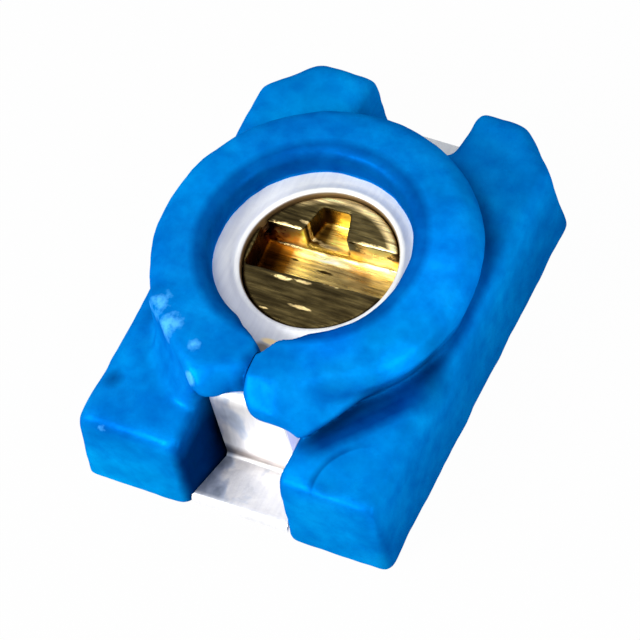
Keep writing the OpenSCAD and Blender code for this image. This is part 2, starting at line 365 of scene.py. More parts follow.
def case_block():
    """The block is made too deep, to be sawn off level with the board at the end."""
    half_w, front, rear = case_high.x + 0.02, -2.3, 2.36
    lean, deep = 0.05, -0.3
    top_round, notch_round = 0.15, 0.12
    share = (block_h - deep) / block_h
    piece = block("housing", (-half_w - 0.02, front, deep), (half_w - 0.003, rear, block_h))
    edit(piece)
    pick_faces(piece, lambda middle, normal: normal.z > 0.9)
    bpy.ops.transform.resize(value=(1 - share * lean / half_w, 1 - share * lean / rear, 1))
    close_edit()
    shift_corners(piece, lambda co: co.x > 0 and co.y > 0, (0, -0.03, 0))
    shift_corners(piece, lambda co: co.x < 0 and co.y < 0, (-0.015, 0, 0))
    corners = ((-1, 1, rear_left_corner), (1, 1, rear_right_corner),
               (-1, -1, front_corner), (1, -1, front_corner))
    for way_x, way_y, cut in corners:
        end_y = rear if way_y > 0 else front
        place = (way_x * (half_w - cut), end_y, 0)
        slice_off(piece, place, (way_x, way_y, lean / block_h * math.sqrt(2)))
    round_edges(piece, top_round, lambda a, b: min(a.z, b.z) > block_h - 0.01)
    combine(piece, front_notch(), "DIFFERENCE")
    round_edges(piece, notch_round, lambda a, b: (
        max(a.y, b.y) < front + 0.12 and max(abs(abs(a.x) - 0.5), abs(abs(b.x) - 0.5)) < 0.12
        and abs(a.z - b.z) > 0.3))
    combine(piece, rear_notch(), "DIFFERENCE")
    combine(piece, mould_step(), "DIFFERENCE")
    return melted(piece, 0.04, 8)


def collar():
    """The collar turned with a broad shoulder outside; its wall draws in towards the block."""
    top, inner, shoulder = case_high.z, 0.7, 0.2
    neck = collar_rad - 0.12
    section = [(inner, floor_z), (neck, floor_z), (neck, block_h)]
    section += arc(collar_rad - shoulder, top - shoulder - 0.02, shoulder, -50, 80)
    section += [(1.25, top), (inner, top - 0.01)]
    return turned("collar", section, ring=True, centre=(-0.025, 0.005))


def left_lump():
    """The left end runs straight off the round, and sank into the block on its outer side."""
    piece = block("left_lump", (-1.3, -1.8, 0.9), (0.1, -0.95, 1.5))
    carve(piece, (
        ((-0.27, -1.757, 1), (0.79, -0.613, 0)),  # towards the seam
        ((-0.28, -1.76, 1), (0.316, -0.949, 0)),  # front
        ((-0.5, -1.75, 1), (-0.652, -0.758, 0.05)),  # outer side
        ((-0.25, -1.57, 1.46), (0.3, -0.8, 1)),  # top, falling to the front
        ((-0.75, -1.5, 1.46), (-0.5, -0.7, 1)),  # top, falling to the side
    ))
    skirt = block("skirt", (-1.2, -1.9, 0.8), (-0.3, -1.0, 1.24))
    carve(skirt, (
        ((-1.063, -1.223, 1.25), (-0.545, -0.626, 0.55)),  # slope down to the block
        ((-0.4, -1.76, 1), (0, -1, 0)),  # front
    ))
    combine(piece, skirt, "UNION")
    return piece


def right_lump():
    """The right end hangs over the leg and is undercut on its far side."""
    piece = block("right_lump", (-0.2, -1.8, 0.86), (1.3, -0.95, 1.52))
    carve(piece, (
        ((-0.02, -1.63, 1), (-0.75, -0.66, 0)),  # towards the seam
        ((0.08, -1.7, 1.185), (-0.511, -0.1, -0.859)),  # underside, rising to the seam
        ((0.8, -1.62, 1.1), (0.88, -0.47, 0.1)),  # far side
        ((0.84, -1.52, 1.14), (0.56, -0.32, 0.76)),  # far side, above
        ((0.84, -1.52, 1.1), (0.6, -0.35, -0.7)),  # far side, undercut
        ((0.3, -1.63, 1.44), (0, -0.75, 1)),  # top, falling to the front
    ))
    return piece


def across_the_seam(way):
    """What lies in front on the other side of the seam, from one end."""
    return block("across", (min(0, 3 * way), -3, 0), (max(0, 3 * way), 0, 2))


def collar_side(lump, across, rounds):
    """The collar with one of its two ends."""
    piece = collar()
    combine(piece, lump, "UNION")
    combine(piece, across, "DIFFERENCE")
    combine(piece, lip_cutter(), "DIFFERENCE")
    combine(piece, front_notch(), "DIFFERENCE")
    return melted(piece, 0.035, rounds)


def well_cutter():
    section = [(recess_rad, floor_z), (recess_rad, ledge_z), (well_rad, ledge_z),
               (well_rad, cover_z), (seat_rad, cover_z), (seat_rad, cover_top),
               (0.9, cover_top)]
    return turned("well_cutter", section)


def lip_cutter():
    """The opening inside the pressed lip is a little off the middle."""
    lip_rad, lip_round, top = 0.97, 0.15, case_high.z
    section = [(lip_rad, block_h), (lip_rad, cover_top)]
    section += arc(lip_rad + lip_round, top - lip_round, lip_round, 180, 95)
    section += [(lip_rad + lip_round, top + 0.3)]
    return turned("lip_cutter", section, centre=(-0.07, 0.016))


def seam_mouth():
    """The seam opens to a V towards the lip, narrower at its tip."""
    low, high, level = cover_top - 0.03, 1.7, 1.4
    left_way, right_way = (-0.837, -0.547, -0.1), (0.866, -0.5, -0.1)
    piece = block("seam_mouth", (-0.8, -1.6, low), (0.8, -0.8, high))
    carve(piece, (
        ((-0.01, -1.5, level), left_way),
        ((-0.01, -1.5, level), right_way),
        ((-0.16, -1.1, level), (-0.545, -0.84, -0.1)),
        ((0.12, -1.1, level), (0.496, -0.868, -0.1)),
    ))
    tip = block("tip", (-0.3, -1.6, low), (0.3, -1.1, high))
    carve(tip, (((0.02, -1.29, level), left_way), ((0.02, -1.29, level), right_way)))
    combine(piece, tip, "UNION")
    return piece


def front_notch():
    """The notch's walls lean and close in on the foot."""
    piece = block("front_notch", (-0.52, -2.5, -0.4), (0.535, -1.575, 1.15))
    shifts = (
        (lambda co: co.x < 0 and co.z > 1 and co.y < -2, (0.07, 0, 0)),
        (lambda co: co.x < 0 and co.z < 0 and co.y < -2, (0.01, 0, 0)),
        (lambda co: co.x < 0 and co.z < 0 and co.y > -2, (0.19, 0, 0)),
        (lambda co: co.x > 0 and co.z < 0, (-0.04, 0, 0)),
        (lambda co: co.x < 0 and co.z > 1, (0, 0, 0.06)),
        (lambda co: co.x > 0 and co.z > 1, (0, 0, -0.04)),
    )
    for wanted, shift in shifts:
        shift_corners(piece, wanted, shift)
    return piece


def rear_notch():
    """The rear notch goes through the whole height and widens to the right."""
    piece = block("rear_notch", (-0.5, 1.66, -0.2), (0.58, 3, 2))
    shift_corners(piece, lambda co: co.x > 0 and co.y > 2, (0.08, 0, 0))
    return piece


def mould_step():
    """A shallow round step in the block's top, left by the mould."""
    step_deep = 0.025
    section = [(mould_rad, block_h - step_deep), (mould_rad, 1.2)]
    return turned("mould_step", section, centre=mould_place)


housing = case_block()
combine(housing, collar_side(left_lump(), across_the_seam(1), 20), "UNION")
melted(housing, 0.03, 8)
combine(housing, collar_side(right_lump(), across_the_seam(-1), 12), "UNION")
combine(housing, seam_mouth(), "DIFFERENCE")

# The skin of the cast resin is a little uneven, and the underside is flat
refine(housing, "REMESH", mode="VOXEL", voxel_size=0.027)
refine(housing, "DISPLACE", texture=unevenness("resin_swell", 0.45), strength=0.035)
refine(housing, "DISPLACE", texture=unevenness("resin_ripple", 0.14), strength=0.008)
refine(housing, "SMOOTH", factor=0.5, iterations=3)
slice_off(housing, (0, 0, 0), (0, 0, -1))

# The well, the seam and the terminal's way out are cut last, so their edges stay crisp
seam_half, tab_half = 0.006, leg_half + 0.02
combine(housing, well_cutter(), "DIFFERENCE")
seam = block("seam", (-seam_half, -2, cover_top), (seam_half, -1.25, 1.7))
combine(housing, seam, "DIFFERENCE")
tab_way = block("tab_way", (-tab_half, leg_front + 0.1, cover_z), (tab_half, -1, cover_top))
combine(housing, tab_way, "DIFFERENCE")


def object_place(tree, scale=(1, 1, 1), turn=(0, 0, 0)):
    """The place on the piece in millimetres, stretched and turned for a pattern."""
    place = tree.nodes.new("ShaderNodeTexCoord")
    mapping = tree.nodes.new("ShaderNodeMapping")
    mapping.inputs["Scale"].default_value = [s / mm for s in scale]
    mapping.inputs["Rotation"].default_value = [math.radians(a) for a in turn]
    tree.links.new(place.outputs["Object"], mapping.inputs["Vector"])
    return mapping.outputs[0]


def noise(tree, place, scale, detail=2, rough=0.5):
    cloud = tree.nodes.new("ShaderNodeTexNoise")
    cloud.inputs["Scale"].default_value = scale
    cloud.inputs["Detail"].default_value = detail
    cloud.inputs["Roughness"].default_value = rough
    tree.links.new(place, cloud.inputs["Vector"])
    return cloud.outputs["Fac"]


def ramp(tree, value, stops):
    """Turns a value into a colour; stops are (position, (r, g, b)) pairs."""
    band = tree.nodes.new("ShaderNodeValToRGB")
    points = band.color_ramp.elements
    while len(points) < len(stops):
        points.new(0.5)
    for point, (position, colour) in zip(points, stops):
        point.position = position
        point.color = (*colour, 1)
    tree.links.new(value, band.inputs[0])
    return band.outputs[0]


def mixed(tree, kind, share, first, second):
    """Mixes two colours; share is a link or a number."""
    mix = tree.nodes.new("ShaderNodeMix")
    mix.data_type = "RGBA"
    mix.blend_type = kind
    if isinstance(share, (int, float)):
        mix.inputs[0].default_value = share
    else:
        tree.links.new(share, mix.inputs[0])
    for socket, colour in ((mix.inputs[6], first), (mix.inputs[7], second)):
        if isinstance(colour, tuple):
            socket.default_value = (*colour, 1)
        else:
            tree.links.new(colour, socket)
    return mix.outputs[2]


def along(tree, place, axis, low, high):
    """0 to 1 between two places along an axis."""
    split = tree.nodes.new("ShaderNodeSeparateXYZ")
    tree.links.new(place, split.inputs[0])
    span = tree.nodes.new("ShaderNodeMapRange")
    span.inputs["From Min"].default_value = low
    span.inputs["From Max"].default_value = high
    tree.links.new(split.outputs[axis], span.inputs["Value"])
    return span.outputs[0]


def near(tree, place, centre, reach):
    """1 at a place, falling to 0 at the reach from it."""
    away = tree.nodes.new("ShaderNodeVectorMath")
    away.operation = "DISTANCE"
    away.inputs[1].default_value = centre
    tree.links.new(place, away.inputs[0])
    fall = tree.nodes.new("ShaderNodeMapRange")
    fall.inputs["From Min"].default_value = reach
    fall.inputs["From Max"].default_value = 0
    tree.links.new(away.outputs["Value"], fall.inputs["Value"])
    return fall.outputs[0]


def shaded(tree, share, colour, tone):
    """Multiplies a colour by a tone, in the share given."""
    return mixed(tree, "MULTIPLY", share, colour, tone)


def times(tree, first, second):
    """Multiplies two values."""
    product = tree.nodes.new("ShaderNodeMath")
    product.operation = "MULTIPLY"
    tree.links.new(first, product.inputs[0])
    tree.links.new(second, product.inputs[1])
    return product.outputs[0]


def vary_gloss(tree, paint, cloud, smoothest, roughest):
    """Gives a shader a roughness that follows a cloud."""
    gloss = ramp(tree, cloud, [(0.3, (smoothest,) * 3), (0.7, (roughest,) * 3)])
    tree.links.new(gloss, paint.inputs["Roughness"])


def bumped(tree, paint, height, depth, strength):
    """Gives a shader a fine relief, its depth in millimetres."""
    bump = tree.nodes.new("ShaderNodeBump")
    bump.inputs["Strength"].default_value = strength
    bump.inputs["Distance"].default_value = depth * mm
    tree.links.new(height, bump.inputs["Height"])
    tree.links.new(bump.outputs[0], paint.inputs["Normal"])


def blue_resin():
    """Deep mottled blue, with painted shade in its hollows and pale painted highlights on the left
    shoulder.
    """
    material, tree, paint = shader_tree("blue_resin")
    paint.inputs["Metallic"].default_value = 0.25
    paint.inputs["Specular IOR Level"].default_value = 0
    paint.inputs["Specular Tint"].default_value = (0, 0.6, 1, 1)
    place = object_place(tree)
    flat = object_place(tree, (1, 1, 0))
    white, dim = (1, 1, 1), (0.5, 0.5, 0.6)

    tone = ramp(tree, noise(tree, place, 1.7, 4), [
        (0.3, (0.0, 0.15, 0.53)), (0.5, (0.0, 0.188, 0.62)), (0.7, (0.001, 0.23, 0.69))])
    patches = ramp(tree, noise(tree, place, 5, 3, 0.6), [
        (0.3, (0.78, 0.78, 0.86)), (0.7, (1.12, 1.12, 1.04))])
    colour = shaded(tree, 1.0, tone, patches)
    # Painted shade darkens the hollows, from the piece's own occlusion
    hollow = tree.nodes.new("ShaderNodeAmbientOcclusion")
    hollow.only_local = True
    hollow.samples = 8
    hollow.inputs["Distance"].default_value = 0.6 * mm
    painted_hollow_shade = ramp(tree, hollow.outputs["AO"], [(0.2, (0.22, 0.22, 0.3)), (0.85, white)])
    colour = shaded(tree, 1.0, colour, painted_hollow_shade)

    # The collar's foot on its right side lies in shade
    low_down = along(tree, place, "Z", 1.04, 0.96)
    on_top = times(tree, low_down, along(tree, place, "Z", 0.84, 0.92))
    on_right = along(tree, place, "X", 0.3, 0.8)
    foot_shade = ramp(tree, near(tree, flat, (0, 0, 0), 2), [
        (0.12, white), (0.22, (0.5, 0.5, 0.62))])
    colour = shaded(tree, times(tree, on_top, on_right), colour, foot_shade)

    # So does the pressed lip, round its opening
    lip_shade = ramp(tree, near(tree, flat, (-0.055, 0.012, 0), 2), [(0.41, white), (0.45, dim)])
    colour = shaded(tree, along(tree, place, "Z", 1.2, 1.25), colour, lip_shade)

    # Painted shade makes the notch's left wall the darkest part
    wall_shade = ramp(tree, along(tree, place, "Z", 0, 1), [
        (0.1, (0.16, 0.1, 0.16)), (0.65, (0.2, 0.15, 0.22)), (0.88, (0.6, 0.58, 0.64))])
    notch_wide = times(
        tree, along(tree, place, "X", -0.6, -0.5), along(tree, place, "X", 0.24, 0.2))
    notch_deep = times(tree, along(tree, place, "Y", -1.5, -1.58), low_down)
    colour = shaded(tree, times(tree, notch_wide, notch_deep), colour, wall_shade)

    # Painted light and shade: the right side is lighter towards its upper edge
    side_shade = ramp(tree, along(tree, place, "Z", 0, 1), [
        (0, (0.75, 0.75, 0.78)), (0.45, white), (0.8, (1.4, 1.35, 1.3)), (0.93, (1.2, 1.2, 1.2))])
    colour = shaded(tree, along(tree, place, "X", 1.46, 1.53), colour, side_shade)

    # The mould step's edge shows as a thin dark arc
    step_shade = ramp(tree, near(tree, flat, (*mould_place, 0), 1), [
        (0.94 - mould_rad, white), (1 - mould_rad, dim), (1.02 - mould_rad, white)])
    on_left = along(tree, place, "X", 1.25, 1.0)
    colour = shaded(tree, times(tree, on_top, on_left), colour, step_shade)

    # A painted shadow runs along the block's top beside the collar's right end
    beside_end = object_place(tree, (1, 1, 1), (0, 0, -49.6))
    painted_end_shadow = ramp(tree, along(tree, beside_end, "Y", -1.95, -1.45), [
        (0.2, white), (0.42, (0.4, 0.34, 0.5)), (0.62, (0.4, 0.34, 0.5)), (0.9, white)])
    past_end = times(
        tree, along(tree, beside_end, "X", -1.05, -0.8), along(tree, beside_end, "X", 0.4, 0.05))
    colour = shaded(tree, times(tree, on_top, past_end), colour, painted_end_shadow)

    # Painted shade makes the notch's wall nearly black where it meets the leg
    corner = times(
        tree, along(tree, place, "Y", -1.95, -1.66), along(tree, place, "X", -0.3, -0.33))
    in_corner = times(tree, corner, along(tree, place, "X", -0.5, -0.44))
    colour = shaded(tree, times(tree, in_corner, notch_deep), colour, (0.1, 0.1, 0.1))

    # Painted shade darkens the left end along the seam
    by_seam = times(
        tree, along(tree, place, "X", -0.13, -0.01), along(tree, place, "X", 0.012, 0.004))
    at_seam = times(
        tree, along(tree, place, "Y", -1.25, -1.35), along(tree, place, "Z", 1.15, 1.2))
    colour = shaded(tree, times(tree, by_seam, at_seam), colour, (0.3, 0.35, 0.5))

    # Painted light on the front faces, below a band of painted shade on their upper edge
    painted_edge_shade = ramp(tree, along(tree, place, "Y", -2.1, -2.3), [
        (0.1, white), (0.5, (0.78, 0.78, 0.86)), (0.8, white)])
    colour = shaded(tree, 1.0, colour, painted_edge_shade)
    painted_front_light = ramp(tree, along(tree, place, "X", -1.5, 1.5), [
        (0.2, (1, 1.45, 1.1)), (0.8, (1, 1.15, 0.98))])
    colour = shaded(tree, along(tree, place, "Y", -2.22, -2.28), colour, painted_front_light)

    # Painted light and shade in patches all over, a little lighter or darker: middle, reach, factor
    painted_light_patches = (
        ((-1.42, -1.72, 0.95), 0.13, (0.3, 0.3, 0.4)),
        ((1.1, -1.95, 0.95), 0.8, (1.25, 1.2, 1.1)),
        ((1.45, -0.75, 1.4), 0.9, (1.5, 1.4, 1.2)),
        ((-0.9, 1.75, 0.95), 0.7, (1.6, 1.5, 1.2)),
        ((-1.3, -2.0, 0.95), 0.4, (0.7, 0.72, 0.82)),
        ((-1.2, -0.3, 1.45), 0.8, (0.8, 0.8, 0.88)),
        ((-0.7, 1.25, 1.4), 0.7, (0.7, 0.72, 0.85)),
        ((-1.2, -1.5, 0.95), 0.4, (1.5, 1.35, 1.15)),
        ((1.45, -0.75, 0.95), 0.35, (0.4, 0.4, 0.45)),
        ((1.1, 1.1, 1.35), 0.6, (1.2, 1.2, 1.1)),
        ((1.55, 0.6, 0.4), 1.3, (1.2, 1.2, 1.08)),
        ((1.3, 0.2, 1.45), 0.9, (1, 1.2, 1.35)),
        ((-1.5, 0.3, 1.4), 0.6, (1, 1.35, 1.2)),
        ((0.5, -0.85, 1.3), 0.5, (1, 1.1, 1.5)),
        ((1.3, -0.85, 1.2), 0.35, (1, 1.9, 2)),
        ((0.75, -1.35, 1.4), 0.3, (0.7, 0.7, 0.75)),
        ((0.75, -2.0, 0.95), 0.3, (1, 1.4, 1.3)),
        ((1.0, -2.12, 0.95), 0.22, (0.7, 0.75, 0.8)))
    for middle, reach, change in painted_light_patches:
        colour = shaded(tree, near(tree, place, middle, reach), colour, change)

    # Pale painted highlights on the left shoulder, both ends and the front corner: middle, reach
    highlight_blue = (0.07, 0.42, 0.97)
    crumbly = noise(tree, place, 9, 3, 0.6)
    painted_highlights = (
        ((-1.1, -1.07, 1.4), 0.24), ((-0.9, -1.24, 1.4), 0.24), ((-0.58, -1.4, 1.43), 0.16),
        ((-0.53, -1.69, 1.36), 0.14), ((-1.32, -2.3, 0.9), 0.16), ((0.13, -1.58, 1.32), 0.12))
    for middle, reach in painted_highlights:
        highlight_spot = times(tree, crumbly, near(tree, place, middle, reach))
        highlight_share = ramp(tree, highlight_spot, [(0.18, (0, 0, 0)), (0.34, white)])
        colour = mixed(tree, "MIX", highlight_share, colour, highlight_blue)
    tree.links.new(colour, paint.inputs["Base Color"])

    vary_gloss(tree, paint, noise(tree, place, 3, 3), 0.34, 0.52)
    bumped(tree, paint, noise(tree, place, 9, 4, 0.6), 0.012, 0.5)
    return material


paint_with(housing, blue_resin())
finished(housing, "case", "case_housing", smooth=50)

# ---- Rotor terminal ---------------------------------------------------------------------------
# A silver-plated strip: a flat ring with a pressed rim over the rotor, a tab through the collar
# and a leg that bends down the front notch into a foot on the board.
spring_low, spring_high = box_mm("wave_spring")
spring_w, spring_gap = 0.21, 0.02
hole_rad = -spring_low.x - spring_w - spring_gap
rim_w = 0.09
bend_in = 0.04
foot_half = 0.51
foot_end = cover_low.y + 0.035


def bend(turn, place):
    """Bends the selected end round an axis along the case's width."""
    bpy.ops.mesh.spin(steps=8, dupli=False, angle=math.radians(turn), center=place, axis=(1, 0, 0))


def leg():
    bend_out = bend_in + strip_t
    bend_y = leg_front + bend_out
    piece = block("leg", (-leg_half, bend_y, cover_z), (leg_half, -1.0, cover_top))
    edit(piece)
    pick_faces(piece, lambda middle, normal: normal.y < -0.9)
    bend(-90, (0, bend_y, cover_top - bend_out))
    bpy.ops.mesh.extrude_region_move(
        TRANSFORM_OT_translate={"value": (0, 0, bend_out - (cover_top - bend_out))})
    bend(90, (0, leg_front - bend_in, bend_out))
    bpy.ops.mesh.extrude_region_move(
        TRANSFORM_OT_translate={"value": (0, foot_end - (leg_front - bend_in), 0)})
    bpy.ops.transform.resize(value=(foot_half / leg_half, 1, 1))
    close_edit()
    round_edges(piece, 0.06, lambda a, b: (
        max(a.y, b.y) < foot_end + 0.01 and min(a.z, b.z) > strip_t / 2))
    return piece


def leg_ear():
    """A small ear on the leg's right edge fills the notch's corner."""
    near_y, far_y = leg_front + 0.004, leg_front + 0.09
    piece = block("leg_ear", (leg_half - 0.05, near_y, 0.5), (0.56, far_y, 0.96))
    slice_off(piece, (0.386, 0, 0.52), (0.87, 0, -0.36))
    return piece


def cover():
    """The ring's rim round the hole is pressed up, with a rounded top."""
    top, rim_round = cover_top, 0.045
    section = [(cover_high.y, cover_z), (cover_high.y, top - 0.01), (cover_high.y - 0.01, top)]
    section += [(hole_rad + rim_w + 0.05, top), (hole_rad + rim_w + 0.01, top + 0.008)]
    section += arc(hole_rad + rim_round, top + rim_h - rim_round, rim_round, 60, 180)
    section += [(hole_rad, cover_z)]
    return turned("cover", section, ring=True)


terminal = cover()
combine(terminal, leg(), "UNION")
combine(terminal, leg_ear(), "UNION")


def silver_plate():
    """Bright plating, with painted reflections that make it greyer on the left of the leg and
    towards the front of the ring.
    """
    material, tree, paint = shader_tree("silver_plate")
    place = object_place(tree)
    black, white = (0, 0, 0), (1, 1, 1)
    tone = ramp(tree, noise(tree, place, 2.2, 3), [(0.3, (0.93, 0.93, 0.95)), (0.7, white)])
    drawn = object_place(tree, (9, 0.7, 0.7))
    lines = ramp(tree, noise(tree, drawn, 3, 3), [(0.35, (0.9, 0.9, 0.92)), (0.6, white)])
    colour = shaded(tree, 0.7, tone, lines)

    # Painted reflections of the blue lip and the room lie on the ring in broad bands
    across_ring = object_place(tree, (1, 1, 1), (0, 0, -60))
    painted_ring_reflection = ramp(tree, along(tree, across_ring, "X", -1.1, 1.1), [
        (0.1, (0.7, 0.73, 0.82)), (0.2, white), (0.55, (1, 1, 0.97)), (0.7, (0.86, 0.86, 0.8)),
        (1, (1, 1, 0.95))])

    # Painted reflections make the leg grey and rippled on its left, and painted shade darkens the
    # crease over the foot
    ripple = noise(tree, object_place(tree, (1, 1, 0.4)), 3.5, 3)
    rippled = tree.nodes.new("ShaderNodeMath")
    rippled.operation = "ADD"
    tree.links.new(along(tree, place, "X", -1.1, 0.9), rippled.inputs[0])
    tree.links.new(ripple, rippled.inputs[1])
    leg_shade = ramp(tree, rippled.outputs[0], [
        (0.74, (0.32, 0.36, 0.43)), (0.85, (0.52, 0.57, 0.66)), (0.94, (0.84, 0.82, 0.8))])
    painted_crease_shade = ramp(tree, along(tree, place, "Z", 0, 1), [
        (0.11, white), (0.14, (0.3, 0.27, 0.26)), (0.2, (0.38, 0.35, 0.34)), (0.3, white)])
    leg_shade = shaded(tree, 1.0, leg_shade, painted_crease_shade)
    front_end = along(tree, place, "Y", foot_end + 0.09, foot_end + 0.03)
    leg_shade = mixed(tree, "MIX", front_end, leg_shade, (0.97, 0.97, 0.97))
    on_leg = along(tree, place, "Y", -1.5, -1.6)
    shade = mixed(tree, "MIX", on_leg, painted_ring_reflection, leg_shade)
    colour = shaded(tree, 1.0, colour, shade)

    # The ear lies in blue shade
    ear = times(tree, on_leg, along(tree, place, "X", 0.385, 0.395))
    on_ear = times(tree, ear, along(tree, place, "Z", 0.45, 0.5))
    colour = mixed(tree, "MIX", on_ear, colour, (0.26, 0.29, 0.5))

    # A dark patch and a painted warm glint lie between the collar's ends
    dark_patch = near(tree, place, (-0.1, -1.12, 1.2), 0.14)
    dark_patch_share = ramp(tree, dark_patch, [(0, black), (0.4, white)])
    colour = mixed(tree, "MIX", dark_patch_share, colour, (0.16, 0.13, 0.11))
    painted_glint = near(tree, object_place(tree, (1, 3, 1)), (-0.05, -2.94, 1.2), 0.13)
    glint_share = ramp(tree, painted_glint, [(0.1, black), (0.5, white)])
    colour = mixed(tree, "MIX", glint_share, colour, (1, 0.76, 0.4))

    # The hole's wall carries a painted reflection of the brass
    hole = near(tree, object_place(tree, (1, 1, 0)), (0, 0, 0), 1)
    wall = ramp(tree, hole, [(0.985 - hole_rad, black), (0.995 - hole_rad, white)])
    colour = mixed(tree, "MIX", wall, colour, (0.16, 0.09, 0.03))
    tree.links.new(colour, paint.inputs["Base Color"])

    paint.inputs["Specular IOR Level"].default_value = 1
    metal = ramp(tree, on_leg, [(0, (0.1, 0.1, 0.1)), (1, (0.85, 0.85, 0.85))])
    tree.links.new(metal, paint.inputs["Metallic"])
    vary_gloss(tree, paint, noise(tree, place, 5, 3), 0.34, 0.5)
    bumped(tree, paint, noise(tree, place, 4, 4, 0.6), 0.02, 0.4)
    return material


silver = silver_plate()
paint_with(terminal, silver)
finished(terminal, "case", "rotor_terminal")

# ---- Rotor ------------------------------------------------------------------------------------
# The brass rotor is turned with a flange and a hub, and carries a half-moon plate below. A driver
# slot with one short side arm is milled into the hub, and its edges were left with small burrs.
rotor_low, rotor_high = box_mm("rotor")
hub_rad = hole_rad - 0.014
hub_top = rotor_high.z + 0.022
slot_floor = hub_top - 0.33
slot_front, slot_rear, slot_turn = -0.21, 0.29, 2.8
arm_left, arm_right = -0.33, 0.17
plate_t, flange_t = 0.1, 0.28


def rotor_body():
    flange_z = rotor_low.z + plate_t
    spring_z = flange_z + flange_t
    rad, broken = rotor_high.x, 0.015
    section = [(rad - broken, flange_z), (rad, flange_z + broken)]
    section += [(rad, spring_z - broken), (rad - broken, spring_z)]
    section += [(hub_rad, spring_z), (hub_rad, hub_top - 0.02), (hub_rad - 0.02, hub_top)]
    return turned("rotor_brass", section)


def half_moon():
    """The plate on the rotor's underside covers half of the disc."""
    low, high = rotor_low.z, rotor_low.z + plate_t + 0.02
    piece = turned("half_moon", [(film_high.x, low), (film_high.x, high)])
    slice_off(piece, (0, 0, 0), (0, -1, 0))
    combine(piece, turned("middle", [(0.4, low), (0.4, high)]), "UNION")
    return piece


def slot_cutter():
    """The slot runs out on the right, and its side arm narrows to the rear."""
    above = hub_top + 0.2
    piece = block("slot_cutter", (-0.7, slot_front, slot_floor), (0.9, slot_rear, above))
    arm = block("arm", (arm_left, 0.2, slot_floor + 0.05), (arm_right, 0.59, above))
    edit(arm)
    pick_faces(arm, lambda middle, normal: normal.y > 0.9)
    bpy.ops.transform.resize(value=(0.6, 1, 1))
    bpy.ops.transform.translate(value=(0.01, 0, 0))
    close_edit()
    combine(piece, arm, "UNION")
    piece.rotation_euler.z = math.radians(slot_turn)
    deselect_all()
    piece.select_set(True)
    bpy.context.view_layer.objects.active = piece
    bpy.ops.object.transform_apply(location=True, rotation=True, scale=True)
    return piece


rotor = rotor_body()
combine(rotor, half_moon(), "UNION")
combine(rotor, slot_cutter(), "DIFFERENCE")
refine(rotor, "REMESH", mode="VOXEL", voxel_size=0.016)
refine(rotor, "SMOOTH", factor=0.5, iterations=1)


